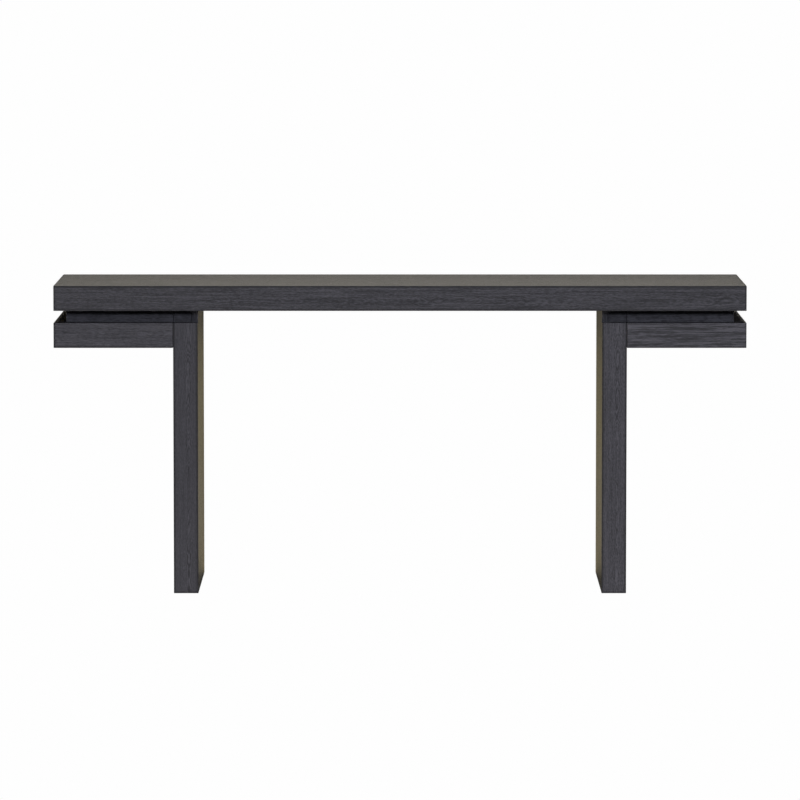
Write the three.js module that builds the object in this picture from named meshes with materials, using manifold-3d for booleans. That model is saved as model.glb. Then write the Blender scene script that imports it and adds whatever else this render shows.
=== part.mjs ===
// Console table: a thick mitred box top on two slab legs, each leg with a short box arm held out
// level towards the end of the top. A set-back spacer on each arm leaves a shadow gap under the top.
// Millimetres, +Z up, length along X, front towards -Y, origin on the floor under the middle.
import * as THREE from "three";
import { ConvexGeometry } from "three/addons/geometries/ConvexGeometry.js";
import { mergeVertices } from "three/addons/utils/BufferGeometryUtils.js";
import Module from "manifold-3d";

const wasm = await Module();
wasm.setup();

// Overall sizes
const tableLength = 1829;
const tableDepth = 457;
const tableHeight = 816;
const topThickness = 66;
const armThickness = 66;
const legThickness = 65;
const armLength = 315.5; // from the leg's outer face to the end of the table
const revealHeight = 32; // height of the shadow gap between arm and top
const revealDepth = 32; // how far neck and spacer stand back from the faces around them

// Boards
const boardThickness = 18;
const glueLine = 0.3; // left between faces that are glued or clamped together
const armSeam = 0.8; // open shadow line where an arm meets its leg

// Core and joinery inside the boxes
const coreRailWidth = 30;
const ribThickness = 30;
const ribCount = 3;
const legTopRailHeight = 84;
const cleatLength = 70; // reach of the cleat from the leg into the arm

// Bolts that hold each arm and spacer up to the top
const boltRadius = 4;
const boltHeadRadius = 7;
const boltHeadHeight = 5;
const boltTip = 6; // thread standing past the nut plate
const boltEdgeDistance = 50;
const socketRadius = 3.3;
const socketDepth = 3;
const boltHoleClearance = 0.5;
const accessHoleRadius = 11; // lets the bolt and its key in through the arm's bottom board
const nutPlateThickness = 6;
const nutPlateMargin = 25;

// Levelling feet, screwed fully in at rest so their pads are flush with the base boards
const footPadRadius = 14;
const footPadHeight = 6;
const footPadChamfer = 1;
const footStudRadius = 4;
const footStudLength = 30;
const footInset = 60; // from the table's front and back faces to the middle of a foot
const footRecessClearance = 1;
const insertWall = 2;
const threadClearance = 0.3;

const roundSides = 24;

// Heights and places that follow
const undersideZ = tableHeight - topThickness;
const shoulderZ = undersideZ - revealHeight; // top of the legs and arms
const armBottomZ = shoulderZ - armThickness;
const endX = tableLength / 2;
const legOuterX = endX - armLength;
const legInnerX = legOuterX - legThickness;
const spacerOuterX = endX - revealDepth;
const faceY = tableDepth / 2;
const neckY = faceY - revealDepth;
const hollowY = faceY - boardThickness - glueLine;

const directionX = new THREE.Vector3(1, 0, 0);
const directionY = new THREE.Vector3(0, 1, 0);
const directionZ = new THREE.Vector3(0, 0, 1);
const reversed = (direction) => direction.clone().negate();

const stainedOak = { color: 0x414146, roughness: 0.62, metalness: 0 };
const coreWood = { color: 0xb79b74, roughness: 0.85, metalness: 0 };
const zincSteel = { color: 0xa9abae, roughness: 0.38, metalness: 1 };
const blackNylon = { color: 0x1b1b1c, roughness: 0.55, metalness: 0 };

// Solids

function solidFrom(geometry) {
  const bare = geometry.index ? geometry.toNonIndexed() : geometry.clone();
  bare.deleteAttribute("normal");
  bare.deleteAttribute("uv");
  const merged = mergeVertices(bare, 1e-4);
  const mesh = new wasm.Mesh({
    numProp: 3,
    vertProperties: merged.attributes.position.array,
    triVerts: new Uint32Array(merged.index.array),
  });
  return new wasm.Manifold(mesh);
}

function geometryFrom(solid) {
  const mesh = solid.getMesh();
  const geometry = new THREE.BufferGeometry();
  geometry.setAttribute("position", new THREE.BufferAttribute(mesh.vertProperties, 3));
  geometry.setIndex(new THREE.BufferAttribute(mesh.triVerts, 1));
  return geometry;
}

function joined(first, second) {
  return geometryFrom(solidFrom(first).add(solidFrom(second)));
}

function cutBy(body, tools) {
  const solid = tools.reduce((rest, tool) => rest.subtract(solidFrom(tool)), solidFrom(body));
  return geometryFrom(solid);
}

// A box given by its lowest and highest corner.
function block(low, high) {
  const size = high.map((value, axis) => value - low[axis]);
  const middle = high.map((value, axis) => (value + low[axis]) / 2);
  return new THREE.BoxGeometry(...size).translate(...middle);
}

// An upright cylinder, or with six sides a hexagon, between two heights.
function rod(x, y, lowZ, highZ, radius, sides = roundSides) {
  const cylinder = new THREE.CylinderGeometry(radius, radius, highZ - lowZ, sides);
  return cylinder.rotateX(Math.PI / 2).translate(x, y, (lowZ + highZ) / 2);
}

// A board lies face up at z = 0 with its grain along X. Each edge says how far it is trimmed back
// at the face, and how much further it slopes in for each millimetre down.
const mitre = { trim: glueLine / Math.SQRT2, slope: 1 };
const square = (trim) => ({ trim, slope: 0 });

function board(length, width, { start = mitre, finish = mitre, near = mitre, far = mitre } = {}) {
  const corners = [];
  for (const depth of [0, boardThickness]) {
    for (const x of [start.trim + start.slope * depth, length - finish.trim - finish.slope * depth]) {
      for (const y of [near.trim + near.slope * depth, width - far.trim - far.slope * depth]) {
        corners.push(new THREE.Vector3(x - length / 2, y - width / 2, -depth));
      }
    }
  }
  return new ConvexGeometry(corners);
}

// A turned piece from radius and height pairs that start and end on the axis, or close on themselves.
function turned(outline) {
  const points = outline.map(([radius, height]) => new THREE.Vector2(radius, height));
  return new THREE.LatheGeometry(points, roundSides).rotateX(Math.PI / 2);
}

// Scene graph

function piece(name, geometry, finish, position = [0, 0, 0]) {
  const mesh = new THREE.Mesh(geometry, new THREE.MeshStandardMaterial(finish));
  mesh.name = name;
  mesh.position.set(...position);
  return mesh;
}

// A board stood up or turned over: its grain runs along one direction and its face looks along another.
function facing(name, geometry, position, grain, face) {
  const mesh = piece(name, geometry, stainedOak, position);
  const across = new THREE.Vector3().crossVectors(face, grain);
  mesh.quaternion.setFromRotationMatrix(new THREE.Matrix4().makeBasis(grain, across, face));
  return mesh;
}

// Bolts stand in two rows between the cleat and the spacer's outer end.
const boltRows = [
  legOuterX + armSeam + cleatLength + boltEdgeDistance,
  spacerOuterX - boltEdgeDistance,
];
const boltY = neckY - boltEdgeDistance;
const boltPlaces = boltRows.flatMap((x) => [-boltY, boltY].map((y) => [x, y]));
const boltHoleRadius = boltRadius + boltHoleClearance;

// The top: six mitred boards around rails, ribs and a mounting block over each arm.

function buildTop() {
  const top = new THREE.Group();
  const middleZ = tableHeight - topThickness / 2;
  const underside = board(tableLength, tableDepth);
  const bothSides = [-1, 1].flatMap((side) => boltPlaces.map(([x, y]) => [side * x, y]));
  const holes = bothSides.map(([x, y]) => rod(x, y, -2 * boardThickness, boardThickness, boltHoleRadius));
  top.add(
    facing("top_face_panel", board(tableLength, tableDepth), [0, 0, tableHeight], directionX, directionZ),
    facing("top_underside_panel", cutBy(underside, holes), [0, 0, undersideZ],
      directionX, reversed(directionZ)),
    facing("top_front_edge", board(tableLength, topThickness), [0, -faceY, middleZ],
      directionX, reversed(directionY)),
    facing("top_back_edge", board(tableLength, topThickness), [0, faceY, middleZ],
      directionX, directionY),
    facing("top_left_end", board(tableDepth, topThickness), [-endX, 0, middleZ],
      directionY, reversed(directionX)),
    facing("top_right_end", board(tableDepth, topThickness), [endX, 0, middleZ],
      directionY, directionX),
  );

  const lowZ = undersideZ + boardThickness + glueLine;
  const highZ = tableHeight - boardThickness - glueLine;
  const hollowX = endX - boardThickness - glueLine;
  const railY = hollowY - coreRailWidth;
  top.add(
    piece("top_front_rail", block([-hollowX, -hollowY, lowZ], [hollowX, -railY, highZ]), coreWood),
    piece("top_back_rail", block([-hollowX, railY, lowZ], [hollowX, hollowY, highZ]), coreWood),
  );

  const ribY = railY - glueLine;
  const ribPitch = (2 * legInnerX) / (ribCount + 1);
  for (let index = 1; index <= ribCount; index += 1) {
    const x = index * ribPitch - legInnerX;
    const low = [x - ribThickness / 2, -ribY, lowZ];
    const high = [x + ribThickness / 2, ribY, highZ];
    top.add(piece(`top_rib_${index}`, block(low, high), coreWood));
  }
  return top;
}

// A nut plate lies on the underside board, let into the mounting block above it.
function buildMounting(side) {
  const mounting = new THREE.Group();
  const lowZ = undersideZ + boardThickness + glueLine;
  const highZ = tableHeight - boardThickness - glueLine;
  const blockY = hollowY - coreRailWidth - glueLine;
  const plateLow = [boltRows[0] - nutPlateMargin, -boltY - nutPlateMargin, lowZ];
  const plateHigh = [boltRows[1] + nutPlateMargin, boltY + nutPlateMargin, lowZ + nutPlateThickness];
  const plate = block(plateLow, plateHigh);
  const tapped = boltPlaces.map(([x, y]) =>
    rod(x, y, lowZ - nutPlateThickness, lowZ + 2 * nutPlateThickness, boltRadius + threadClearance));

  const whole = block([legInnerX, -blockY, lowZ], [endX - boardThickness - glueLine, blockY, highZ]);
  const pocket = block(
    plateLow.map((value) => value - glueLine),
    plateHigh.map((value) => value + glueLine),
  );
  const holes = boltPlaces.map(([x, y]) => rod(x, y, lowZ, highZ + boardThickness, boltHoleRadius));
  mounting.add(
    piece(`${side}_mounting_block`, cutBy(whole, [pocket, ...holes]), coreWood),
    piece(`${side}_nut_plate`, cutBy(plate, tapped), zincSteel),
  );
  return mounting;
}

// Legs, arms and spacers are built for the right-hand side, with +X outwards. The left-hand side is
// the same assembly turned half a turn, so its front is at the right-hand side's back.

const frontOf = { right: -1, left: 1 };

function buildLeg(side) {
  const leg = new THREE.Group();
  const middleX = (legInnerX + legOuterX) / 2;
  const middleZ = shoulderZ / 2;
  const up = { finish: square(0) };
  const strip = board(shoulderZ, legThickness, up);
  const front = frontOf[side];
  const outward = (sign) => directionY.clone().multiplyScalar(sign);
  leg.add(
    facing(`${side}_leg_front_edge`, strip, [middleX, front * faceY, middleZ], directionZ, outward(front)),
    facing(`${side}_leg_back_edge`, strip, [middleX, -front * faceY, middleZ], directionZ, outward(-front)),
    facing(`${side}_leg_outer_panel`, board(shoulderZ, tableDepth, up), [legOuterX, 0, middleZ],
      directionZ, directionX),
  );

  // The inner panel runs on past the shoulder as the inner face of the neck.
  const wide = board(shoulderZ, tableDepth, up);
  const neckTop = shoulderZ / 2 + revealHeight - glueLine;
  const neck = block([0, -neckY, -boardThickness], [neckTop, neckY, 0]);
  leg.add(facing(`${side}_leg_inner_panel`, joined(wide, neck), [legInnerX, 0, middleZ],
    directionZ, reversed(directionX)));

  const innerX = legInnerX + boardThickness + glueLine;
  const outerX = legOuterX - boardThickness - glueLine;
  const topRail = block([innerX, -hollowY, shoulderZ - legTopRailHeight], [outerX, hollowY, shoulderZ]);
  const neckBlock = block(
    [innerX, -neckY, shoulderZ + glueLine],
    [legOuterX, neckY, undersideZ - glueLine],
  );
  leg.add(
    piece(`${side}_leg_top_rail`, topRail, stainedOak),
    piece(`${side}_neck_block`, neckBlock, stainedOak),
  );
  return leg;
}

// A base board closes the leg and carries two levelling feet, each in a threaded insert.
function buildBase(side) {
  const base = new THREE.Group();
  const middleX = (legInnerX + legOuterX) / 2;
  const footY = faceY - footInset;
  const recessRadius = footPadRadius + footRecessClearance;
  const recessDepth = footPadHeight + footRecessClearance;
  const insertRadius = footStudRadius + threadClearance + insertWall;
  const cuts = [-footY, footY].flatMap((y) => [
    rod(y, 0, -recessDepth, boardThickness, recessRadius),
    rod(y, 0, -2 * boardThickness, 0, insertRadius + glueLine),
  ]);
  base.add(facing(`${side}_leg_base_board`, cutBy(board(tableDepth, legThickness), cuts),
    [middleX, 0, 0], directionY, reversed(directionZ)));

  const foot = turned([
    [0, 0],
    [footPadRadius - footPadChamfer, 0],
    [footPadRadius, footPadChamfer],
    [footPadRadius, footPadHeight],
    [footStudRadius, footPadHeight],
    [footStudRadius, footPadHeight + footStudLength],
    [0, footPadHeight + footStudLength],
  ]);
  const bore = footStudRadius + threadClearance;
  const insert = turned([
    [bore, recessDepth],
    [insertRadius, recessDepth],
    [insertRadius, boardThickness],
    [bore, boardThickness],
    [bore, recessDepth],
  ]);
  for (const [end, y] of [["front", frontOf[side] * footY], ["back", -frontOf[side] * footY]]) {
    base.add(
      piece(`${side}_${end}_foot`, foot, blackNylon, [middleX, y, 0]),
      piece(`${side}_${end}_foot_insert`, insert, zincSteel, [middleX, y, 0]),
    );
  }
  return base;
}

function buildArm(side) {
  const arm = new THREE.Group();
  const middleX = legOuterX + armLength / 2;
  const middleZ = armBottomZ + armThickness / 2;
  const front = frontOf[side];
  const atLeg = { start: square(armSeam) };
  const throughBoard = ([x, y], radius) =>
    rod(x - middleX, y, -2 * boardThickness, boardThickness, radius);
  const boltHoles = boltPlaces.map((place) => throughBoard(place, boltHoleRadius));
  const accessHoles = boltPlaces.map((place) => throughBoard(place, accessHoleRadius));
  const edge = board(armLength, armThickness, atLeg);
  const outward = (sign) => directionY.clone().multiplyScalar(sign);
  arm.add(
    facing(`${side}_arm_top_panel`, cutBy(board(armLength, tableDepth, atLeg), boltHoles),
      [middleX, 0, shoulderZ], directionX, directionZ),
    facing(`${side}_arm_bottom_panel`, cutBy(board(armLength, tableDepth, atLeg), accessHoles),
      [middleX, 0, armBottomZ], directionX, reversed(directionZ)),
    facing(`${side}_arm_front_edge`, edge, [middleX, front * faceY, middleZ], directionX, outward(front)),
    facing(`${side}_arm_back_edge`, edge, [middleX, -front * faceY, middleZ], directionX, outward(-front)),
    facing(`${side}_arm_end_panel`, board(tableDepth, armThickness), [endX, 0, middleZ],
      directionY, directionX),
  );

  const cleat = block(
    [legOuterX + glueLine, -hollowY, armBottomZ + boardThickness + glueLine],
    [legOuterX + armSeam + cleatLength, hollowY, shoulderZ - boardThickness - glueLine],
  );
  const spacer = block(
    [legOuterX + armSeam, -neckY, shoulderZ + glueLine],
    [spacerOuterX, neckY, undersideZ - glueLine],
  );
  const spacerHoles = boltPlaces.map(([x, y]) =>
    rod(x, y, shoulderZ - boardThickness, undersideZ + boardThickness, boltHoleRadius));
  arm.add(
    piece(`${side}_arm_cleat`, cleat, coreWood),
    piece(`${side}_spacer`, cutBy(spacer, spacerHoles), stainedOak),
  );
  return arm;
}

// Each bolt's head bears on the arm's top board from inside the arm.
function buildBolts(side) {
  const bolts = new THREE.Group();
  const seatZ = shoulderZ - boardThickness - glueLine;
  const tipZ = undersideZ + boardThickness + glueLine + nutPlateThickness + boltTip;
  const plain = turned([
    [0, -boltHeadHeight],
    [boltHeadRadius, -boltHeadHeight],
    [boltHeadRadius, 0],
    [boltRadius, 0],
    [boltRadius, tipZ - seatZ],
    [0, tipZ - seatZ],
  ]);
  const socket = rod(0, 0, -2 * boltHeadHeight, socketDepth - boltHeadHeight, socketRadius, 6);
  const bolt = cutBy(plain, [socket]);
  boltPlaces.forEach(([x, y], index) => {
    bolts.add(piece(`${side}_bolt_${index + 1}`, bolt, zincSteel, [x, y, seatZ]));
  });
  return bolts;
}

function buildSide(side) {
  const group = new THREE.Group();
  group.add(buildMounting(side), buildLeg(side), buildBase(side), buildArm(side), buildBolts(side));
  group.rotation.z = side === "left" ? Math.PI : 0;
  return group;
}

const consoleTable = new THREE.Group();
consoleTable.add(buildTop(), buildSide("left"), buildSide("right"));

export default consoleTable;
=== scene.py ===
import math

import bmesh
import bpy
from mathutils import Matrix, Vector


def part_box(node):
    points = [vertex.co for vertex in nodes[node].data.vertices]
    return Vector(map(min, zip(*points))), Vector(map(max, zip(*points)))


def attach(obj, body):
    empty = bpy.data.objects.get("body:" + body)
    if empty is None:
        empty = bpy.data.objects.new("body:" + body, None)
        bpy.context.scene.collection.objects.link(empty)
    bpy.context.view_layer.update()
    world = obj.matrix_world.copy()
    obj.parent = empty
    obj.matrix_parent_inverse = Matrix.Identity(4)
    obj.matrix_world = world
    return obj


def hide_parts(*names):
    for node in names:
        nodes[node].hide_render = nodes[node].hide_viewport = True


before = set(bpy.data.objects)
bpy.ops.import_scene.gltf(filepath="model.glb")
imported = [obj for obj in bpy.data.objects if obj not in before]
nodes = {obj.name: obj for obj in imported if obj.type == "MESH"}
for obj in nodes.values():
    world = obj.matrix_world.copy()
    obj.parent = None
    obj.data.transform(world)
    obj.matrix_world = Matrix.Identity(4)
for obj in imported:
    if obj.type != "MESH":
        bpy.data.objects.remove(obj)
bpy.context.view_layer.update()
scene = bpy.context.scene
scene.view_settings.view_transform = "Standard"
print("frame loaded:", len(nodes), "pieces")

sides = ("left", "right")
axes = {"x": Vector((1, 0, 0)), "y": Vector((0, 1, 0)), "z": Vector((0, 0, 1))}


# lowest and highest corner of several pieces taken together
def boxAround(names):
    lows, highs = zip(*(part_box(name) for name in names))
    low = Vector(min(corner[i] for corner in lows) for i in range(3))
    high = Vector(max(corner[i] for corner in highs) for i in range(3))
    return low, high


tableLow, tableHigh = boxAround(sorted(nodes))


# the camera stands far back, a little above the top, and looks slightly down
camera = {"distance": 14.732, "height": 1.8399, "pitch": 5.1422, "lens": 251.95, "sensor": 36.0,
          "clip": 200.0}


def makeCamera(values):
    lens = bpy.data.cameras.new("camera")
    lens.lens = values["lens"]
    lens.sensor_width = values["sensor"]
    lens.clip_end = values["clip"]
    seat = bpy.data.objects.new("camera", lens)
    seat.location = (0, tableLow.y - values["distance"], values["height"])
    seat.rotation_euler = (math.radians(90 - values["pitch"]), 0, 0)
    scene.collection.objects.link(seat)
    scene.camera = seat


makeCamera(camera)
print("camera set")


# small helpers for node trees
def addNode(tree, kind, inputs=None, **settings):
    node = tree.nodes.new(kind)
    for key, value in settings.items():
        setattr(node, key, value)
    for key, value in (inputs or {}).items():
        feed(tree, node.inputs[key], value)
    return node


def feed(tree, socket, value):
    if isinstance(value, bpy.types.NodeSocket):
        tree.links.new(value, socket)
    else:
        socket.default_value = value


def maths(tree, operation, *values, clamp=False):
    node = addNode(tree, "ShaderNodeMath", operation=operation, use_clamp=clamp)
    for socket, value in zip(node.inputs, values):
        feed(tree, socket, value)
    return node.outputs[0]


def vectorMaths(tree, operation, *values):
    node = addNode(tree, "ShaderNodeVectorMath", operation=operation)
    for socket, value in zip(node.inputs, values):
        feed(tree, socket, value)
    return node.outputs["Value" if operation == "DOT_PRODUCT" else "Vector"]


# fades from 0 to 1 while value goes from low to high
def fade(tree, value, low, high, start=0.0, end=1.0):
    inputs = {"Value": value, "From Min": low, "From Max": high, "To Min": start, "To Max": end}
    return addNode(tree, "ShaderNodeMapRange", inputs, interpolation_type="SMOOTHSTEP").outputs["Result"]


# a Mix node has sockets for every data type, and these are the places of the colour ones
mixSockets = {"first": 6, "second": 7, "result": 2}


def blendColours(tree, amount, first, second):
    node = addNode(tree, "ShaderNodeMix", data_type="RGBA")
    feed(tree, node.inputs["Factor"], amount)
    feed(tree, node.inputs[mixSockets["first"]], first)
    feed(tree, node.inputs[mixSockets["second"]], second)
    return node.outputs[mixSockets["result"]]


# a noise pattern drawn out by different amounts along each axis, in repeats per metre
def stretchedNoise(tree, vector, repeats, detail=2.0, roughness=0.5, output="Fac"):
    drawn = vectorMaths(tree, "MULTIPLY", vector, repeats)
    inputs = {"Vector": drawn, "Scale": 1.0, "Detail": detail, "Roughness": roughness}
    return addNode(tree, "ShaderNodeTexNoise", inputs).outputs[output]


def newGroup(name, inputs, outputs):
    group = bpy.data.node_groups.new(name, "ShaderNodeTree")
    for label, kind, value in inputs:
        socket = group.interface.new_socket(label, in_out="INPUT", socket_type="NodeSocket" + kind)
        if value is not None:
            socket.default_value = value
    for label, kind in outputs:
        group.interface.new_socket(label, in_out="OUTPUT", socket_type="NodeSocket" + kind)
    return group, group.nodes.new("NodeGroupInput").outputs, group.nodes.new("NodeGroupOutput").inputs


def placeGroup(tree, group, values):
    return addNode(tree, "ShaderNodeGroup", values, node_tree=group).outputs


# adds a share of each effect to a starting value
def addShares(tree, start, shares, clamp=False):
    total = start
    for number, (value, share) in enumerate(shares):
        last = clamp and number == len(shares) - 1
        total = maths(tree, "MULTIPLY_ADD", value, share, total, clamp=last)
    return total


def newMaterial(name):
    material = bpy.data.materials.new(name)
    material.use_nodes = True
    return material, material.node_tree, material.node_tree.nodes["Principled BSDF"]


# height is in metres, so the bump needs no scaling
def joinShader(tree, shader, colour, gloss, height):
    relief = addNode(tree, "ShaderNodeBump", {"Height": height, "Strength": 1.0, "Distance": 1.0})
    tree.links.new(colour, shader.inputs["Base Color"])
    tree.links.new(gloss, shader.inputs["Roughness"])
    tree.links.new(relief.outputs["Normal"], shader.inputs["Normal"])


# where a point lies in its board: along the grain, across it, and into the thickness
def makeBoardPlace():
    tree, given, out = newGroup(
        "board place",
        [("Position", "Vector", None), ("Centre", "Vector", None), ("Along", "Vector", None),
         ("Across", "Vector", None), ("Depth", "Vector", None)],
        [("Place", "Vector")],
    )
    offset = vectorMaths(tree, "SUBTRACT", given["Position"], given["Centre"])
    parts = [vectorMaths(tree, "DOT_PRODUCT", offset, given[label]) for label in ("Along", "Across", "Depth")]
    place = addNode(tree, "ShaderNodeCombineXYZ", {"X": parts[0], "Y": parts[1], "Z": parts[2]})
    tree.links.new(place.outputs[0], out["Place"])
    return tree


# growth rings of plain-sawn wood cut from leaves of veneer, then wire brushed: the soft early wood sinks
# repeats are per metre along the grain, across it and into the thickness
wood = {
    "seedStep": 17.13, "leafShift": 9.0, "leafAside": 0.12, "riseShare": 3.0, "rippleShare": 1.1,
    "drift": (11.0, 9.0, 9.0), "ripple": (30.0, 220.0, 220.0), "streak": (9.0, 390.0, 390.0),
    "pore": (80.0, 1400.0, 1400.0), "dashAcross": 470.0, "fleckAcross": 400.0, "fleckOffset": (3.1, 1.7, 0.4),
    "earlyStart": (0.0, 0.14), "earlyEnd": (0.30, 0.55), "lateStart": (0.55, 0.78), "lateEnd": (0.88, 1.0),
    "ringRange": 0.8, "ringLeast": 0.2, "poreCut": (0.53, 0.66), "poreRange": 0.7, "poreLeast": 0.3,
    "fleckCut": (0.60, 0.74), "seamWidth": 0.0006,
}


def makeWoodFigure():
    tree, given, out = newGroup(
        "wood figure",
        [("Place", "Vector", None), ("Seed", "Float", 0.0), ("Leaf Width", "Float", 0.16),
         ("Pith Depth", "Float", 0.03), ("Ring Spacing", "Float", 0.0028), ("Taper", "Float", 0.04),
         ("Wander", "Float", 0.008), ("Dash Length", "Float", 0.016)],
        [("Early Wood", "Float"), ("Late Wood", "Float"), ("Streak", "Float"), ("Dash", "Float"),
         ("Fleck", "Float"), ("Pore", "Float"), ("Leaf Tone", "Float"), ("Seam", "Float")],
    )
    place = addNode(tree, "ShaderNodeSeparateXYZ", {"Vector": given["Place"]}).outputs
    leaf = maths(tree, "ROUND", maths(tree, "DIVIDE", place["Y"], given["Leaf Width"]))
    leafKey = maths(tree, "MULTIPLY_ADD", given["Seed"], wood["seedStep"], leaf)
    leafDraw = addNode(tree, "ShaderNodeTexWhiteNoise", {"W": leafKey}, noise_dimensions="1D").outputs
    draws = addNode(tree, "ShaderNodeSeparateXYZ", {"Vector": leafDraw["Color"]}).outputs
    inLeaf = maths(tree, "SUBTRACT", place["Y"], maths(tree, "MULTIPLY", leaf, given["Leaf Width"]))
    aside = maths(tree, "MULTIPLY", maths(tree, "SUBTRACT", draws["Y"], 0.5),
                  maths(tree, "MULTIPLY", given["Leaf Width"], wood["leafAside"]))
    along = maths(tree, "MULTIPLY_ADD", draws["X"], wood["leafShift"], place["X"])
    across = maths(tree, "ADD", inLeaf, aside)
    point = addNode(tree, "ShaderNodeCombineXYZ", {"X": along, "Y": across, "Z": place["Z"]}).outputs[0]

    # the trunk isn't straight, so the rings wander and close into ovals and arches
    drift = stretchedNoise(tree, point, wood["drift"], output="Color")
    drift = addNode(tree, "ShaderNodeSeparateXYZ", {"Vector": drift}).outputs
    sway = maths(tree, "MULTIPLY", maths(tree, "SUBTRACT", drift["X"], 0.5), given["Wander"])
    rise = maths(tree, "MULTIPLY", maths(tree, "SUBTRACT", drift["Y"], 0.5),
                 maths(tree, "MULTIPLY", given["Wander"], wood["riseShare"]))
    height = maths(tree, "ADD", maths(tree, "ADD", given["Pith Depth"], place["Z"]),
                   maths(tree, "MULTIPLY_ADD", place["X"], given["Taper"], rise))
    width = maths(tree, "ADD", across, sway)
    radius = maths(tree, "SQRT", maths(tree, "ADD", maths(tree, "MULTIPLY", width, width),
                                       maths(tree, "MULTIPLY", height, height)))
    ripple = stretchedNoise(tree, point, wood["ripple"], 2.0, 0.6)
    evenRings = maths(tree, "DIVIDE", radius, given["Ring Spacing"])
    rings = maths(tree, "MULTIPLY_ADD", ripple, wood["rippleShare"], evenRings)
    saw = maths(tree, "FRACT", rings)
    early = maths(tree, "MULTIPLY", fade(tree, saw, *wood["earlyStart"]),
                  fade(tree, saw, *wood["earlyEnd"], 1.0, 0.0))
    late = maths(tree, "MULTIPLY", fade(tree, saw, *wood["lateStart"]),
                 fade(tree, saw, *wood["lateEnd"], 1.0, 0.0))
    ringDraw = addNode(tree, "ShaderNodeTexWhiteNoise", {"W": maths(tree, "FLOOR", rings)},
                       noise_dimensions="1D").outputs["Value"]
    ringGrade = maths(tree, "MULTIPLY_ADD", ringDraw, wood["ringRange"], wood["ringLeast"])

    # brushing leaves long streaks, short dashes, pale flecks where a ridge stands proud, and open pores
    dashRepeat = maths(tree, "DIVIDE", 1.0, given["Dash Length"])
    dashInputs = {"X": dashRepeat, "Y": wood["dashAcross"], "Z": wood["dashAcross"]}
    dashStretch = addNode(tree, "ShaderNodeCombineXYZ", dashInputs).outputs[0]
    fleckInputs = {"X": dashRepeat, "Y": wood["fleckAcross"], "Z": wood["fleckAcross"]}
    fleckStretch = addNode(tree, "ShaderNodeCombineXYZ", fleckInputs).outputs[0]
    streak = stretchedNoise(tree, point, wood["streak"], 1.0, 0.5)
    dash = stretchedNoise(tree, point, dashStretch, 2.0, 0.55)
    ridge = stretchedNoise(tree, vectorMaths(tree, "ADD", point, wood["fleckOffset"]), fleckStretch, 1.0, 0.5)
    pore = fade(tree, stretchedNoise(tree, point, wood["pore"], 1.0, 0.5), *wood["poreCut"])
    poreShare = maths(tree, "MULTIPLY_ADD", early, wood["poreRange"], wood["poreLeast"])
    pore = maths(tree, "MULTIPLY", pore, poreShare)
    seam = maths(tree, "SUBTRACT", maths(tree, "MULTIPLY", given["Leaf Width"], 0.5),
                 maths(tree, "ABSOLUTE", inLeaf))
    for label, value in (("Early Wood", maths(tree, "MULTIPLY", early, ringGrade)),
                         ("Late Wood", maths(tree, "MULTIPLY", late, ringGrade)),
                         ("Streak", streak), ("Dash", dash), ("Fleck", fade(tree, ridge, *wood["fleckCut"])),
                         ("Pore", pore), ("Leaf Tone", draws["Z"]),
                         ("Seam", fade(tree, seam, 0.0, wood["seamWidth"], 1.0, 0.0))):
        tree.links.new(value, out[label])
    return tree


# distance to the nearest edge of a box-shaped member, turned into a mask that is 1 on the arris; it paints
# shade along the edges
def makeArrisShade():
    tree, given, out = newGroup(
        "arris",
        [("Position", "Vector", None), ("Centre", "Vector", None), ("Half Size", "Vector", None),
         ("Reach", "Float", 0.003)],
        [("Arris Shade", "Float")],
    )
    offset = vectorMaths(tree, "ABSOLUTE", vectorMaths(tree, "SUBTRACT", given["Position"], given["Centre"]))
    inside = vectorMaths(tree, "SUBTRACT", given["Half Size"], offset)
    parts = addNode(tree, "ShaderNodeSeparateXYZ", {"Vector": inside}).outputs
    nearXY = maths(tree, "MAXIMUM", parts["X"], parts["Y"])
    nearYZ = maths(tree, "MAXIMUM", parts["Y"], parts["Z"])
    nearXZ = maths(tree, "MAXIMUM", parts["X"], parts["Z"])
    gap = maths(tree, "MINIMUM", nearXY, maths(tree, "MINIMUM", nearYZ, nearXZ))
    mask = addNode(tree, "ShaderNodeMapRange",
                   {"Value": gap, "From Min": 0.0, "From Max": given["Reach"], "To Min": 1.0, "To Max": 0.0})
    tree.links.new(mask.outputs["Result"], out["Arris Shade"])
    return tree


boardPlace = makeBoardPlace()
woodFigure = makeWoodFigure()
arris = makeArrisShade()
print("shared effects made")


# black-stained oak, open grain, satin lacquer
oak = {
    "dark": (0.022, 0.022, 0.025, 1), "light": (0.096, 0.095, 0.108, 1), "pore": (0.012, 0.012, 0.014, 1),
    "middle": 0.42, "streakShare": 1.3, "dashShare": 1.5, "earlyShare": 0.26, "lateShare": 0.30,
    "fleckShare": 0.22, "poreShare": 0.55, "seamShare": 0.6, "leafShare": 0.14,
    # painted shade: how strongly and how far in the outer edges of each member are darkened
    "arrisShadeShare": 1.0, "arrisShadeReach": 0.0066,
    "roughness": 0.46, "poreRoughness": 0.24, "dashRoughness": 0.16,
    "earlyDepth": 0.00010, "streakDepth": 0.00006, "dashDepth": 0.00010, "poreDepth": 0.00016,
}

# how a board's figure looks unless the list of boards says otherwise
plainBoard = {
    "leaf": 0.153, "pith": 0.014, "rings": 0.0019, "taper": 0.03, "wander": 0.005, "dash": 0.010,
    "contrast": 1.15, "arches": 1.0, "streaks": 1.0, "tone": 0.0, "shift": 0.0,
}
wideLeaf = 0.1524  # leaves of veneer laid side by side on the wide boards
gapShadeTone = -0.42  # painted shade: boards that make the floor of the shadow gap are darkened
stripLightTone = 0.18  # painted light: the set-back strip at the back of the shadow gap is lightened

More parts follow.
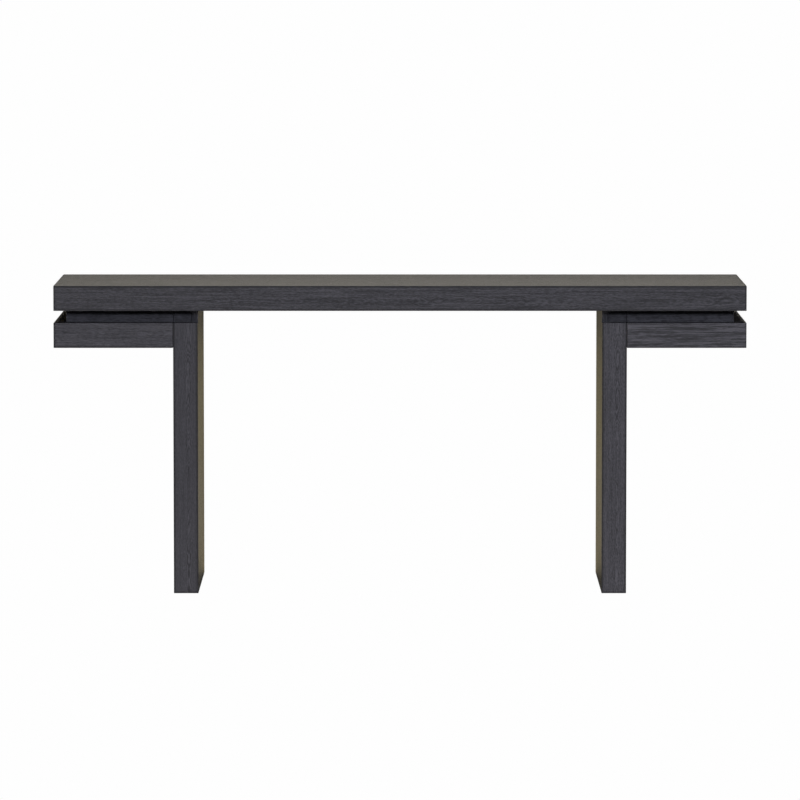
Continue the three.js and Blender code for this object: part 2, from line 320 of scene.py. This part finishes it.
# the legs and arms differ most in front: the right leg is livelier, the right arm has long straight lines
frontGrain = {
    "left_leg": {"contrast": 0.6, "tone": 0.02},
    "right_leg": {"contrast": 1.15, "tone": 0.08},
    "left_arm": {"contrast": 1.0, "arches": 0.8},
    "right_arm": {"contrast": 1.9, "arches": 1.8, "streaks": 2.2, "shift": 0.04, "dash": 0.020},
}


def makeOak(name, board, memberBox):
    material, tree, shader = newMaterial(name)
    position = addNode(tree, "ShaderNodeTexCoord").outputs["Object"]
    low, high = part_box(board["node"])
    along, across = axes[board["grain"]], axes[board["across"]]
    place = placeGroup(tree, boardPlace, {
        "Position": position, "Centre": (low + high) / 2 + across * board["shift"], "Along": along,
        "Across": across, "Depth": along.cross(across),
    })["Place"]
    figure = placeGroup(tree, woodFigure, {
        "Place": place, "Seed": board["seed"], "Leaf Width": board["leaf"], "Pith Depth": board["pith"],
        "Ring Spacing": board["rings"], "Taper": board["taper"], "Wander": board["wander"],
        "Dash Length": board["dash"],
    })
    memberLow, memberHigh = memberBox
    # mask for the painted shade along the member's open edges
    edge = placeGroup(tree, arris, {
        "Position": position, "Centre": (memberLow + memberHigh) / 2,
        "Half Size": (memberHigh - memberLow) / 2, "Reach": oak["arrisShadeReach"],
    })["Arris Shade"]
    streak = maths(tree, "SUBTRACT", figure["Streak"], 0.5)
    dash = maths(tree, "SUBTRACT", figure["Dash"], 0.5)
    leafTone = maths(tree, "SUBTRACT", figure["Leaf Tone"], 0.5)

    contrast, arches = board["contrast"], board["arches"]
    shade = addShares(tree, oak["middle"] + board["tone"], [
        (streak, contrast * oak["streakShare"] * board["streaks"]), (dash, contrast * oak["dashShare"]),
        (figure["Early Wood"], -arches * oak["earlyShare"]), (figure["Late Wood"], arches * oak["lateShare"]),
        (figure["Fleck"], contrast * oak["fleckShare"]), (leafTone, oak["leafShare"]),
        (edge, -oak["arrisShadeShare"]),
    ], clamp=True)
    colour = blendColours(tree, shade, oak["dark"], oak["light"])
    for line, share in (("Pore", oak["poreShare"]), ("Seam", oak["seamShare"])):
        colour = blendColours(tree, maths(tree, "MULTIPLY", figure[line], share), colour, oak["pore"])
    gloss = addShares(tree, oak["roughness"], [
        (figure["Pore"], oak["poreRoughness"]), (dash, -oak["dashRoughness"]),
    ])
    height = addShares(tree, 0.0, [
        (figure["Early Wood"], -oak["earlyDepth"]), (streak, oak["streakDepth"]), (dash, oak["dashDepth"]),
        (figure["Pore"], -oak["poreDepth"]),
    ])
    joinShader(tree, shader, colour, gloss, height)
    return material


# grain runs the length of each member; narrow boards show one arched leaf, wide ones several side by side
def boardList():
    boards = [
        dict(node="top_face_panel", grain="x", across="y", seed=1, member="top", leaf=wideLeaf),
        dict(node="top_underside_panel", grain="x", across="y", seed=2, member="top", leaf=wideLeaf),
        dict(node="top_front_edge", grain="x", across="z", seed=3, member="top", tone=-0.03),
        dict(node="top_back_edge", grain="x", across="z", seed=4, member="top"),
        dict(node="top_left_end", grain="y", across="z", seed=5, member="top"),
        dict(node="top_right_end", grain="y", across="z", seed=6, member="top"),
    ]
    for count, side in enumerate(sides):
        first = 10 + 20 * count
        leg, arm = side + "_leg", side + "_arm"
        boards += [
            dict(node=leg + "_front_edge", grain="z", across="x", seed=first, member=leg, dash=0.006,
                 pith=0.012, taper=0.04, wander=0.006, streaks=0.6, arches=1.2, **frontGrain[leg]),
            dict(node=leg + "_back_edge", grain="z", across="x", seed=first + 1, member=leg),
            dict(node=leg + "_outer_panel", grain="z", across="y", seed=first + 2, member=leg, leaf=wideLeaf),
            dict(node=leg + "_inner_panel", grain="z", across="y", seed=first + 3, member=leg, leaf=wideLeaf),
            dict(node=leg + "_base_board", grain="y", across="x", seed=first + 4, member=leg),
            # painted shade on the boards under the shadow gap
            dict(node=leg + "_top_rail", grain="y", across="x", seed=first + 12, member=leg, tone=gapShadeTone),
            dict(node=arm + "_top_panel", grain="x", across="y", seed=first + 5, member=arm, leaf=wideLeaf,
                 tone=gapShadeTone),
            dict(node=arm + "_bottom_panel", grain="x", across="y", seed=first + 6, member=arm,
                 leaf=wideLeaf),
            dict(node=arm + "_front_edge", grain="x", across="z", seed=first + 7, member=arm,
                 **frontGrain[arm]),
            dict(node=arm + "_back_edge", grain="x", across="z", seed=first + 8, member=arm),
            dict(node=arm + "_end_panel", grain="y", across="z", seed=first + 9, member=arm),
            # painted light on the set-back strip inside the shadow gap
            dict(node=side + "_spacer", grain="x", across="z", seed=first + 10, member=side + "_neck",
                 tone=stripLightTone),
            dict(node=side + "_neck_block", grain="x", across="z", seed=first + 11, member=side + "_neck",
                 tone=stripLightTone),
        ]
    return boards


# boxes whose open edges get painted shade
def memberBoxes():
    boxes = {"top": boxAround(name for name in nodes if name.startswith("top_"))}
    for side in sides:
        legParts = ("front_edge", "back_edge", "outer_panel", "inner_panel", "base_board")
        armParts = ("top_panel", "bottom_panel", "front_edge", "back_edge", "end_panel")
        boxes[side + "_leg"] = boxAround(side + "_leg_" + part for part in legParts)
        # painted shade darkens an arm only along its open edges: not at the leg, nor under the shadow gap
        low, high = boxAround(side + "_arm_" + part for part in armParts)
        high.z = tableHigh.z
        if side == "left":
            high.x = 0.0
        else:
            low.x = 0.0
        boxes[side + "_arm"] = (low, high)
        # the set-back strip gets no painted edge shade, having no open edge of its own
        boxes[side + "_neck"] = (tableLow, tableHigh)
    return boxes


def dress(node, material):
    node.data.materials.clear()
    node.data.materials.append(material)


# the eased arris of a sanded board
easing = {"width": 0.0007, "segments": 2, "angle": 30.0, "merge": 0.00001}


def easeEdges(node):
    weld = node.modifiers.new("weld", "WELD")
    weld.merge_threshold = easing["merge"]
    bevel = node.modifiers.new("eased edges", "BEVEL")
    bevel.width = easing["width"]
    bevel.segments = easing["segments"]
    bevel.limit_method = "ANGLE"
    bevel.angle_limit = math.radians(easing["angle"])


def finishBoards():
    boxes = memberBoxes()
    for choices in boardList():
        board = {**plainBoard, **choices}
        node = nodes[board["node"]]
        dress(node, makeOak("stained oak, " + board["node"].replace("_", " "), board, boxes[board["member"]]))
        easeEdges(node)


finishBoards()
print("oak boards finished")


# unfinished softwood inside the boxes
coreWood = {
    "early": (0.56, 0.40, 0.22, 1), "late": (0.36, 0.20, 0.085, 1), "resin": (0.22, 0.10, 0.035, 1),
    "lateShare": 0.75, "streakShare": 0.5, "resinShare": 0.35, "roughness": 0.72, "roughnessShare": 0.12,
    "middle": 0.1, "rings": 0.0036, "pith": 0.06, "leaf": 0.6, "depth": 0.00008, "firstSeed": 60,
}
coreParts = ("top_front_rail", "top_back_rail", "top_rib_1", "top_rib_2", "top_rib_3", "left_mounting_block",
             "right_mounting_block", "left_arm_cleat", "right_arm_cleat")


def makeCoreWood(name, seed):
    material, tree, shader = newMaterial("core wood, " + name.replace("_", " "))
    low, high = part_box(name)
    size = high - low
    longest, second, _ = sorted("xyz", key=lambda letter: -size["xyz".index(letter)])
    along, across = axes[longest], axes[second]
    place = placeGroup(tree, boardPlace, {
        "Position": addNode(tree, "ShaderNodeTexCoord").outputs["Object"], "Centre": (low + high) / 2,
        "Along": along, "Across": across, "Depth": along.cross(across),
    })["Place"]
    figure = placeGroup(tree, woodFigure, {
        "Place": place, "Seed": seed, "Leaf Width": coreWood["leaf"], "Pith Depth": coreWood["pith"],
        "Ring Spacing": coreWood["rings"],
    })
    streak = maths(tree, "SUBTRACT", figure["Streak"], 0.5)
    shade = addShares(tree, coreWood["middle"], [
        (figure["Late Wood"], coreWood["lateShare"]), (streak, coreWood["streakShare"]),
    ], clamp=True)
    colour = blendColours(tree, shade, coreWood["early"], coreWood["late"])
    resin = maths(tree, "MULTIPLY", figure["Pore"], coreWood["resinShare"])
    colour = blendColours(tree, resin, colour, coreWood["resin"])
    gloss = addShares(tree, coreWood["roughness"], [(figure["Late Wood"], -coreWood["roughnessShare"])])
    height = addShares(tree, 0.0, [
        (figure["Early Wood"], -coreWood["depth"]), (streak, coreWood["depth"]),
    ])
    joinShader(tree, shader, colour, gloss, height)
    return material


for number, name in enumerate(coreParts):
    dress(nodes[name], makeCoreWood(name, coreWood["firstSeed"] + number))
    easeEdges(nodes[name])
print("core finished")


# bright zinc plate: patches of bloom and a straw tint over fine turning marks
zinc = {
    "bright": (0.66, 0.67, 0.69, 1), "dull": (0.42, 0.43, 0.45, 1), "straw": (0.60, 0.53, 0.38, 1),
    "bloomRepeats": (90.0, 90.0, 90.0), "bloomCut": (0.38, 0.66),
    "strawRepeats": (35.0, 35.0, 35.0), "strawCut": (0.50, 0.70), "strawShare": 0.55,
    "markRepeats": (260.0, 260.0, 5200.0), "markDepth": 0.000012,
    "roughness": 0.26, "bloomRoughness": 0.22, "markRoughness": 0.10,
}


def makeZinc():
    material, tree, shader = newMaterial("bright zinc")
    shader.inputs["Metallic"].default_value = 1.0
    position = addNode(tree, "ShaderNodeTexCoord").outputs["Object"]
    bloom = fade(tree, stretchedNoise(tree, position, zinc["bloomRepeats"], 4.0, 0.6), *zinc["bloomCut"])
    straw = fade(tree, stretchedNoise(tree, position, zinc["strawRepeats"], 3.0, 0.5), *zinc["strawCut"])
    mark = maths(tree, "SUBTRACT", stretchedNoise(tree, position, zinc["markRepeats"], 1.0, 0.5), 0.5)
    colour = blendColours(tree, bloom, zinc["bright"], zinc["dull"])
    colour = blendColours(tree, maths(tree, "MULTIPLY", straw, zinc["strawShare"]), colour, zinc["straw"])
    gloss = addShares(tree, zinc["roughness"], [
        (bloom, zinc["bloomRoughness"]), (mark, zinc["markRoughness"]),
    ])
    joinShader(tree, shader, colour, gloss, maths(tree, "MULTIPLY", mark, zinc["markDepth"]))
    return material


# moulded nylon: fine spark grain, and scuffs where the sole drags on the floor
nylon = {
    "moulded": (0.010, 0.010, 0.011, 1), "bloom": (0.022, 0.022, 0.023, 1),
    "scuffed": (0.045, 0.043, 0.041, 1), "bloomRepeats": (150.0, 150.0, 150.0), "bloomCut": (0.35, 0.70),
    "grainRepeats": (2100.0, 2100.0, 2100.0), "grainDepth": 0.00004,
    "scuffRepeats": (900.0, 170.0, 900.0), "scuffCut": (0.52, 0.68), "scuffDepth": 0.00003, "wear": 0.0022,
    "roughness": 0.50, "scuffRoughness": 0.22, "grainRoughness": 0.2,
}


def makeNylon():
    material, tree, shader = newMaterial("black nylon")
    position = addNode(tree, "ShaderNodeTexCoord").outputs["Object"]
    bloom = fade(tree, stretchedNoise(tree, position, nylon["bloomRepeats"], 3.0, 0.5), *nylon["bloomCut"])
    grain = maths(tree, "SUBTRACT", stretchedNoise(tree, position, nylon["grainRepeats"], 2.0, 0.6), 0.5)
    height = addNode(tree, "ShaderNodeSeparateXYZ", {"Vector": position}).outputs["Z"]
    worn = fade(tree, height, 0.0, nylon["wear"], 1.0, 0.0)
    scuff = fade(tree, stretchedNoise(tree, position, nylon["scuffRepeats"], 2.0, 0.6), *nylon["scuffCut"])
    scuff = maths(tree, "MULTIPLY", scuff, worn)
    colour = blendColours(tree, bloom, nylon["moulded"], nylon["bloom"])
    colour = blendColours(tree, scuff, colour, nylon["scuffed"])
    gloss = addShares(tree, nylon["roughness"], [
        (scuff, nylon["scuffRoughness"]), (grain, nylon["grainRoughness"]),
    ])
    relief = addShares(tree, 0.0, [(grain, nylon["grainDepth"]), (scuff, -nylon["scuffDepth"])])
    joinShader(tree, shader, colour, gloss, relief)
    return material


zincFinish = makeZinc()
nylonFinish = makeNylon()
print("zinc and nylon made")


# turned hardware is made of rings of points round the Z axis, joined in order and closed at both ends
def hexRadius(corner, angle):
    turn = math.radians(60)
    return corner * math.cos(turn / 2) / math.cos(angle % turn - turn / 2)


turned = {"merge": 0.0000005, "crease": 35.0, "scallopShape": (0.0, 0.55, 1.0, 0.55)}


# one ring has a height, a radius, and optionally a hexagon or scallops instead of a circle
def ringPoints(count, height, radius, form="round", depth=0.0):
    points = []
    for step in range(count):
        angle = 2 * math.pi * step / count
        reach = hexRadius(radius, angle) if form == "hexagon" else radius
        if form == "scallops":
            reach -= depth * turned["scallopShape"][step % len(turned["scallopShape"])]
        points.append((reach * math.cos(angle), reach * math.sin(angle), height))
    return points


def bridge(shape, lower, upper):
    for step in range(len(lower)):
        after = (step + 1) % len(lower)
        shape.faces.new((lower[step], lower[after], upper[after], upper[step]))


def addRings(shape, rings, count):
    rows = [[shape.verts.new(point) for point in ringPoints(count, *ring)] for ring in rings]
    for lower, upper in zip(rows, rows[1:]):
        bridge(shape, lower, upper)
    return rows[0], rows[-1]


def closeEnd(shape, row, height, upwards):
    tip = shape.verts.new((0, 0, height))
    for step in range(len(row)):
        after = (step + 1) % len(row)
        ends = (row[step], row[after]) if upwards else (row[after], row[step])
        shape.faces.new((*ends, tip))


# screw thread from start to end: each column of points climbs one pitch in a full turn
# the ends of root and crest are in shares of the pitch, and lead is the slope that the thread runs out by
thread = {"pitch": 0.00125, "root": 0.00339, "crest": 0.00396, "lead": 1.0,
          "rootEnd": 0.125, "crestStart": 0.44, "crestEnd": 0.565}


def addThread(shape, start, end, count):
    pitch, root, crest = thread["pitch"], thread["root"], thread["crest"]
    section = [(0.0, root), (thread["rootEnd"], root), (thread["crestStart"], crest),
               (thread["crestEnd"], crest)]
    turns = math.ceil((end - start) / pitch) + 2
    columns = []
    for step in range(count + 1):
        angle = 2 * math.pi * step / count
        column = []
        for turn in range(turns):
            for share, radius in section:
                height = start + (turn - 1 + share + step / count) * pitch
                height = min(max(height, start), end)
                reach = min(radius, root + thread["lead"] * min(height - start, end - height))
                column.append((reach * math.cos(angle), reach * math.sin(angle), height))
        columns.append([shape.verts.new(point) for point in column])
    for left, right in zip(columns, columns[1:]):
        for row in range(len(left) - 1):
            shape.faces.new((left[row], right[row], right[row + 1], left[row + 1]))


def finishTurned(name, shape, node, body, finish, crease=turned["crease"]):
    bmesh.ops.remove_doubles(shape, verts=shape.verts, dist=turned["merge"])
    bmesh.ops.dissolve_degenerate(shape, edges=shape.edges, dist=turned["merge"])
    bmesh.ops.recalc_face_normals(shape, faces=shape.faces)
    mesh = bpy.data.meshes.new(name)
    shape.to_mesh(mesh)
    shape.free()
    mesh.shade_smooth()
    mesh.set_sharp_from_angle(angle=math.radians(crease))
    mesh.materials.append(finish)
    piece = bpy.data.objects.new(name, mesh)
    low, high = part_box(node)
    piece.location = ((low.x + high.x) / 2, (low.y + high.y) / 2, low.z)
    scene.collection.objects.link(piece)
    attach(piece, body)
    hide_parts(node)


# low-head socket bolts that hold each leg and arm to the top, head down under the arm's top board
bolt = {
    "columns": 36, "head": 0.005, "headRadius": 0.007, "crown": 0.0009, "seatChamfer": 0.0002,
    "socketCorner": 0.0033, "socketDepth": 0.003, "mouth": 0.0037, "mouthDepth": 0.00035,
    "drillRadius": 0.0026, "drillDepth": 0.0007, "shank": 0.004, "fillet": 0.0003,
    "threadLength": 0.028, "pointRadius": 0.0029,
}


def quarterRound(radius, height, size, steps=4):
    turns = [math.pi / 2 * step / steps for step in range(steps + 1)]
    return [(height + size * (1 - math.cos(turn)), radius - size * (1 - math.sin(turn))) for turn in turns]


def makeBolt(node):
    low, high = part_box(node)
    length = high.z - low.z
    head, shank = bolt["head"], bolt["shank"]
    threadStart = length - bolt["threadLength"]
    shape = bmesh.new()
    rings = [
        (bolt["socketDepth"], bolt["drillRadius"]),
        (bolt["socketDepth"], bolt["socketCorner"], "hexagon"),
        (bolt["mouthDepth"], bolt["socketCorner"], "hexagon"),
        (0.0, bolt["mouth"]),
        *quarterRound(bolt["headRadius"], 0.0, bolt["crown"]),
        (head - bolt["seatChamfer"], bolt["headRadius"]),
        (head, bolt["headRadius"] - bolt["seatChamfer"]),
        (head, shank + bolt["fillet"]),
        (head + bolt["fillet"], shank),
        (threadStart - bolt["fillet"], shank),
        (threadStart, thread["root"]),
    ]
    floor, _ = addRings(shape, rings, bolt["columns"])
    closeEnd(shape, floor, bolt["socketDepth"] + bolt["drillDepth"], upwards=False)
    threadEnd = length - (thread["root"] - bolt["pointRadius"])
    addThread(shape, threadStart, threadEnd, bolt["columns"])
    _, point = addRings(shape, [(threadEnd, thread["root"]), (length, bolt["pointRadius"])], bolt["columns"])
    closeEnd(shape, point, length, upwards=True)
    finishTurned(node + "_screw", shape, node, "table", zincFinish)


# levelling feet: a nylon pad with a scalloped rim to turn it by, on a threaded stud
foot = {
    "padColumns": 96, "radius": 0.014, "padHeight": 0.006, "soleEdge": 0.0011, "scallop": 0.0004,
    "dishRadius": 0.0094, "dishDepth": 0.0008, "shoulder": 0.0050, "shoulderRound": 0.0008,
    "shoulderSoft": 0.3, "bossRadius": 0.0078, "bossFlare": 0.0006, "bossRound": 0.0003,
    "bossDraft": 0.0001, "bossBevel": 0.0004, "crease": 30.0,
    "studColumns": 36, "studPoint": 0.0029, "studBuried": 0.5, "studPlain": 0.0006,
}


def makeFoot(node):
    low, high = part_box(node)
    radius, edge = foot["radius"], foot["soleEdge"]
    dish, shoulder, rounding = foot["dishRadius"], foot["shoulder"], foot["shoulderRound"]
    soft, boss, top = rounding * foot["shoulderSoft"], foot["bossRadius"], foot["padHeight"]
    shape = bmesh.new()
    rings = [
        (foot["dishDepth"], dish - foot["dishDepth"]),
        (0.0, dish),
        *quarterRound(radius, 0.0, edge),
        (edge + foot["scallop"], radius, "scallops", foot["scallop"]),
        (shoulder - rounding - foot["scallop"], radius, "scallops", foot["scallop"]),
        (shoulder - rounding, radius),
        (shoulder - soft, radius - soft),
        (shoulder, radius - rounding),
        (shoulder, boss + foot["bossFlare"]),
        (shoulder + foot["bossRound"], boss),
        (top - foot["bossRound"], boss - foot["bossDraft"]),
        (top, boss - foot["bossBevel"]),
    ]
    soleRow, bossRow = addRings(shape, rings, foot["padColumns"])
    closeEnd(shape, soleRow, foot["dishDepth"], upwards=False)
    closeEnd(shape, bossRow, top, upwards=True)
    finishTurned(node + "_pad", shape, node, node, nylonFinish, crease=foot["crease"])

    # the stud starts inside the pad
    length = high.z - low.z
    root, count, buried = thread["root"], foot["studColumns"], top * foot["studBuried"]
    threadStart, threadEnd = top + foot["studPlain"], length - (root - foot["studPoint"])
    shape = bmesh.new()
    buriedRow, _ = addRings(shape, [(buried, root), (threadStart, root)], count)
    closeEnd(shape, buriedRow, buried, upwards=False)
    addThread(shape, threadStart, threadEnd, count)
    _, point = addRings(shape, [(threadEnd, root), (length, foot["studPoint"])], count)
    closeEnd(shape, point, length, upwards=True)
    finishTurned(node + "_stud", shape, node, node, zincFinish)


for side in sides:
    for number in range(1, 5):
        name = "{}_bolt_{}".format(side, number)
        dress(nodes[name], zincFinish)
        makeBolt(name)
    for end in ("front", "back"):
        name = "{}_{}_foot".format(side, end)
        dress(nodes[name], nylonFinish)
        dress(nodes[name + "_insert"], zincFinish)
        makeFoot(name)
    dress(nodes[side + "_nut_plate"], zincFinish)
print("hardware finished")


# a white studio, with light only from softboxes
studio = {
    "white": 0.991, "dome": 0.0, "floorShade": 0.8, "floorRadius": 5.0, "floorSides": 96,
    "floorDrop": 0.0005, "patchDrop": 0.001, "patchColour": (0.2, 0.18, 0.15, 1), "patchRoughness": 0.9,
}
softboxes = [
    # far strip in front, which sets how deep light reaches into the shadow gap
    dict(name="front strip", place=(0.8, -8.5, 4.05), aim=(0, -0.2285, 0.70), size=(8.0, 1.9), power=252.0,
         colour=(0.83, 0.86, 1.0)),
    # glow from the floor well in front of the table
    dict(name="from below", place=(0, -2.9, -4.2), aim=(0, -0.2, 0.4), size=(8.0, 3.2), power=385.0,
         colour=(1.0, 0.95, 0.95)),
    dict(name="overhead", place=(0, -0.2, 3.6), aim=(0, 0, 0.8), size=(4.0, 2.0), power=75.0,
         colour=(1.0, 0.98, 0.93)),
    # warm panels behind, seen as a sheen on faces that run away from the eye
    dict(name="warm high", place=(0, 1.6, 1.9), aim=(0, 0, 1.9), size=(2.6, 0.8), power=12.6,
         colour=(1.0, 0.93, 0.76)),
    dict(name="warm low", place=(0, 2.2, -0.95), aim=(0, 0, -0.95), size=(5.0, 1.3), power=21.0,
         colour=(1.0, 0.75, 0.30)),
    dict(name="warm middle", place=(0, 2.2, -0.10), aim=(0, 0, -0.10), size=(5.0, 0.4), power=3.5,
         colour=(1.0, 0.86, 0.55)),
    dict(name="warm edge", place=(0, 2.2, 0.30), aim=(0, 0, 0.30), size=(5.0, 0.4), power=3.5,
         colour=(1.0, 0.82, 0.36)),
    dict(name="right side", place=(4.0, -1.2, 1.9), aim=(0.9, 0, 0.6), size=(2.4, 1.4), power=28.0,
         colour=(0.80, 0.85, 1.0)),
    dict(name="left back", place=(-4.0, 2.4, -0.2), aim=(-0.5, 0.2, 0.3), size=(2.4, 1.4), power=35.0,
         colour=(1.0, 1.0, 1.0)),
    dict(name="right back", place=(4.0, 2.4, -0.2), aim=(0.5, 0.2, 0.3), size=(2.4, 1.4), power=35.0,
         colour=(1.0, 1.0, 1.0)),
]


def makeSoftbox(values):
    lamp = bpy.data.lights.new(values["name"], "AREA")
    lamp.shape = "RECTANGLE"
    lamp.size, lamp.size_y = values["size"]
    lamp.energy = values["power"]
    lamp.color = values["colour"]
    holder = bpy.data.objects.new(values["name"], lamp)
    holder.location = values["place"]
    direction = Vector(values["aim"]) - Vector(values["place"])
    holder.rotation_euler = direction.to_track_quat("-Z", "Y").to_euler()
    holder.visible_camera = False
    scene.collection.objects.link(holder)


def makeWorld():
    world = bpy.data.worlds.new("white studio")
    scene.world = world
    world.use_nodes = True
    tree = world.node_tree
    tree.nodes.clear()
    dome = addNode(tree, "ShaderNodeBackground", {"Color": (1, 1, 1, 1), "Strength": studio["dome"]})
    white = addNode(tree, "ShaderNodeBackground", {"Color": (1, 1, 1, 1), "Strength": studio["white"]})
    seen = addNode(tree, "ShaderNodeLightPath").outputs["Is Camera Ray"]
    mix = addNode(tree, "ShaderNodeMixShader", {0: seen, 1: dome.outputs[0], 2: white.outputs[0]})
    addNode(tree, "ShaderNodeOutputWorld", {"Surface": mix.outputs[0]})


def makeFloor():
    mesh = bpy.data.meshes.new("floor")
    shape = bmesh.new()
    bmesh.ops.create_circle(shape, cap_ends=True, segments=studio["floorSides"],
                            radius=studio["floorRadius"])
    shape.to_mesh(mesh)
    shape.free()
    floor = bpy.data.objects.new("floor", mesh)
    floor.location.z = tableLow.z - studio["floorDrop"]
    scene.collection.objects.link(floor)
    material = bpy.data.materials.new("pale floor")
    material.use_nodes = True
    tree = material.node_tree
    tree.nodes.clear()
    shade = studio["floorShade"]
    matt = addNode(tree, "ShaderNodeBsdfDiffuse", {"Color": (shade, shade, shade, 1)})
    white = addNode(tree, "ShaderNodeEmission", {"Color": (1, 1, 1, 1), "Strength": studio["white"]})
    seen = addNode(tree, "ShaderNodeLightPath").outputs["Is Camera Ray"]
    mix = addNode(tree, "ShaderNodeMixShader", {0: seen, 1: matt.outputs[0], 2: white.outputs[0]})
    addNode(tree, "ShaderNodeOutputMaterial", {"Surface": mix.outputs[0]})
    mesh.materials.append(material)
    floor.visible_diffuse = False
    floor.visible_glossy = False
    floor.visible_shadow = False


# a dark patch right under the table, felt only by light, so the faces of the legs fade towards the floor
def makeFloorShade():
    low, high = boxAround(side + "_leg_base_board" for side in sides)
    mesh = bpy.data.meshes.new("floor shade")
    corners = [(low.x, low.y), (high.x, low.y), (high.x, high.y), (low.x, high.y)]
    height = tableLow.z - studio["patchDrop"]
    mesh.from_pydata([(x, y, height) for x, y in corners], [], [(0, 1, 2, 3)])
    patch = bpy.data.objects.new("floor shade", mesh)
    scene.collection.objects.link(patch)
    patch.visible_camera = False
    material, _, shader = newMaterial("floor in shade")
    shader.inputs["Base Color"].default_value = studio["patchColour"]
    shader.inputs["Roughness"].default_value = studio["patchRoughness"]
    mesh.materials.append(material)


makeWorld()
makeFloor()
makeFloorShade()
for softbox in softboxes:
    makeSoftbox(softbox)
print("studio lit")
